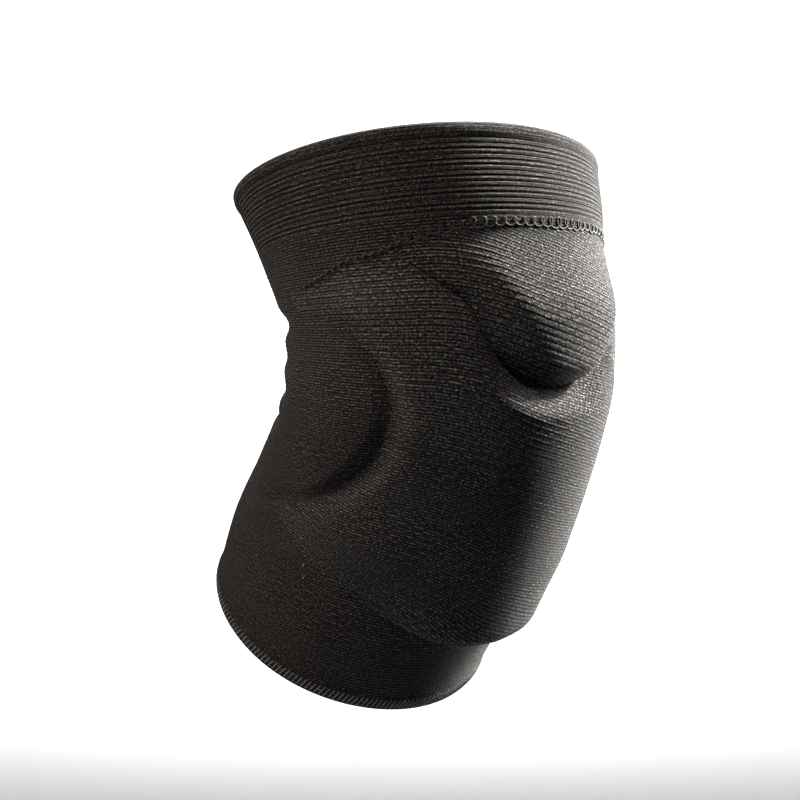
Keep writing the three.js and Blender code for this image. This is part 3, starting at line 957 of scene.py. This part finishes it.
# %% Rope stitches along the wings
ROPE_FROM, ROPE_TO, ROPE_PITCH = 56, 98, 3.0
ROPE_SIZE = (3.0 * MM, 1.5 * MM, 1.5 * MM)
ROPE_LIFT, ROPE_OFF, ROPE_LEAN = 0.6 * MM, 0.4 * MM, 38
rope_angle = np.arange(ROPE_FROM, ROPE_TO, ROPE_PITCH)
rope_at = curve(SEAM, rope_angle / WING_REACH)
rope = [
    (side * a, s + ROPE_LIFT / HALF_RISE, SLEEVE_WALL + ROPE_OFF, -side * ROPE_LEAN)
    for side in (-1, 1) for a, s in zip(rope_angle, rope_at)
]
stitch_row("seam_rope", rope, ROPE_SIZE, DARK_THREAD)

# %% [markdown]
# ## Tacks on the near wing
# A few short light stitches tack the near wing to the sleeve, at its lower end and where its inner edge
# is drawn into a pucker. They are a chance mark of the sewing, so the far wing has none.

# %% Wing tacks
# Each row is reach in degrees, station and lean
TACKS = [(97, -0.41, 20), (92, -0.43, 30), (86, -0.49, 60), (81, -0.58, 70), (79, -0.62, 70),
         (63, 0.125, 50), (62, 0.1, 60), (61.5, 0.075, 70)]
TACK_SIZE = (2.2 * MM, 0.6 * MM, 0.7 * MM)
TACK_OFF = 0.5 * MM
tacks = [(-a, s, SLEEVE_WALL + TACK_OFF, lean) for a, s, lean in TACKS]
stitch_row("wing_tacks", tacks, TACK_SIZE, GREY_THREAD)

# %% [markdown]
# ## Studio
# A pale floor that curves up into a pale wall gives the plain backdrop of a product photograph. It is one
# profile of floor, curve and wall, spun round the part, so that the camera sees a wall from every side.

# %% Cove
FLOOR_LEVEL = -0.55
COVE_STEPS = 96
COVE_GREY, COVE_ROUGHNESS = 0.78, 0.9
COVE_PROFILE = [(0.0, FLOOR_LEVEL), (2.4, FLOOR_LEVEL), (2.9, -0.4), (3.2, 0.1), (3.3, 2.6)]
bm = bmesh.new()
profile = [bm.verts.new((r, 0, z)) for r, z in COVE_PROFILE]
profile_edges = [bm.edges.new(pair) for pair in zip(profile, profile[1:])]
bmesh.ops.spin(bm, geom=profile + profile_edges, cent=(0, 0, 0), axis=(0, 0, 1), angle=2 * math.pi,
               steps=COVE_STEPS, use_merge=True, dvec=(0, 0, 0))
bmesh.ops.remove_doubles(bm, verts=bm.verts, dist=0.1 * MM)
bmesh.ops.recalc_face_normals(bm, faces=bm.faces)
bmesh.ops.reverse_faces(bm, faces=bm.faces)
cove_mesh = bpy.data.meshes.new("cove")
bm.to_mesh(cove_mesh)
bm.free()
cove_mesh.shade_smooth()
cove = bpy.data.objects.new("cove", cove_mesh)
bpy.context.scene.collection.objects.link(cove)
cove_material = bpy.data.materials.new("cove_paper")
cove_material.use_nodes = True
cove_shader = cove_material.node_tree.nodes["Principled BSDF"]
cove_shader.inputs["Base Color"].default_value = (COVE_GREY, COVE_GREY, COVE_GREY, 1)
cove_shader.inputs["Roughness"].default_value = COVE_ROUGHNESS
cove_mesh.materials.append(cove_material)
cove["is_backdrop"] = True
print("cove faces:", len(cove_mesh.polygons))

# %% [markdown]
# ## Lamps
# Black cloth is lit from the side, because only raking light shows the knit. Two soft lamps rake the
# front from the far side, one low and one high. On the near side a weak warm one fills the top and
# another touches the back edge. The last one lights the cove. Their beams are narrow, so that the strong
# ones stay off what should be dark.

# %% Lamps
KEY_WHITE = (1.0, 0.99, 0.97)
# Each row is name, turn and rise in degrees, distance, size, watts, colour, target, spread in degrees
LAMPS = [
    ("key_rim", 95, 4, 0.9, 0.8, 20, KEY_WHITE, (0, 0, -0.06), 50),
    ("key_high", 66, 38, 0.9, 0.36, 12, KEY_WHITE, (0, -0.06, 0.02), 17),
    ("fill_left", -88, 52, 0.9, 0.3, 1.05, (1.0, 0.92, 0.86), (0, 0, 0.12), 20),
    ("rim_left", -145, 30, 1.0, 0.4, 1.7, (1.0, 0.9, 0.82), (0, 0, 0.07), 36),
    ("backdrop_wash", -45, 50, 1.9, 1.4, 24, (1.0, 1.0, 1.0), (2.2, 2.2, -0.4), 80),
]
SKY_COLOUR, SKY_STRENGTH = (0.95, 0.97, 1.0, 1), 0.33


def lamp(name, turn, rise, distance, size, watts, colour, target, spread):
    """A square soft lamp, placed by its turn round the object and its rise, facing a target."""
    turn, rise = math.radians(turn), math.radians(rise)
    outward = Vector((math.sin(turn) * math.cos(rise), -math.cos(turn) * math.cos(rise), math.sin(rise)))
    data = bpy.data.lights.new(name, "AREA")
    data.size = size
    data.energy = watts
    data.color = colour
    data.spread = math.radians(spread)
    light = bpy.data.objects.new(name, data)
    light.location = Vector(target) + outward * distance
    light.rotation_euler = (-outward).to_track_quat("-Z", "Y").to_euler()
    bpy.context.scene.collection.objects.link(light)


for row in LAMPS:
    lamp(*row)
world = bpy.data.worlds.new("studio")
bpy.context.scene.world = world
world.use_nodes = True
sky = world.node_tree.nodes["Background"]
sky.inputs["Color"].default_value = SKY_COLOUR
sky.inputs["Strength"].default_value = SKY_STRENGTH
bpy.context.scene.view_settings.view_transform = "Standard"
print("lamps:", [row[0] for row in LAMPS])

# %% [markdown]
# ## What the cloth is
# The ribbed band and the plain tube are knitted round and worn stretched. The hems go with the cloth they
# finish.

# %% [markdown]
# ## Sizes
# The box of the solids and the box of the dressed model are written side by side, so that their sizes
# can be compared.

# %% Sizes and finish
visual_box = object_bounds()
corners = zip([*cad_box[0], *cad_box[1]], [*visual_box[0], *visual_box[1]])
print("grown, mm:", [round((b - a) / MM, 1) for a, b in corners])
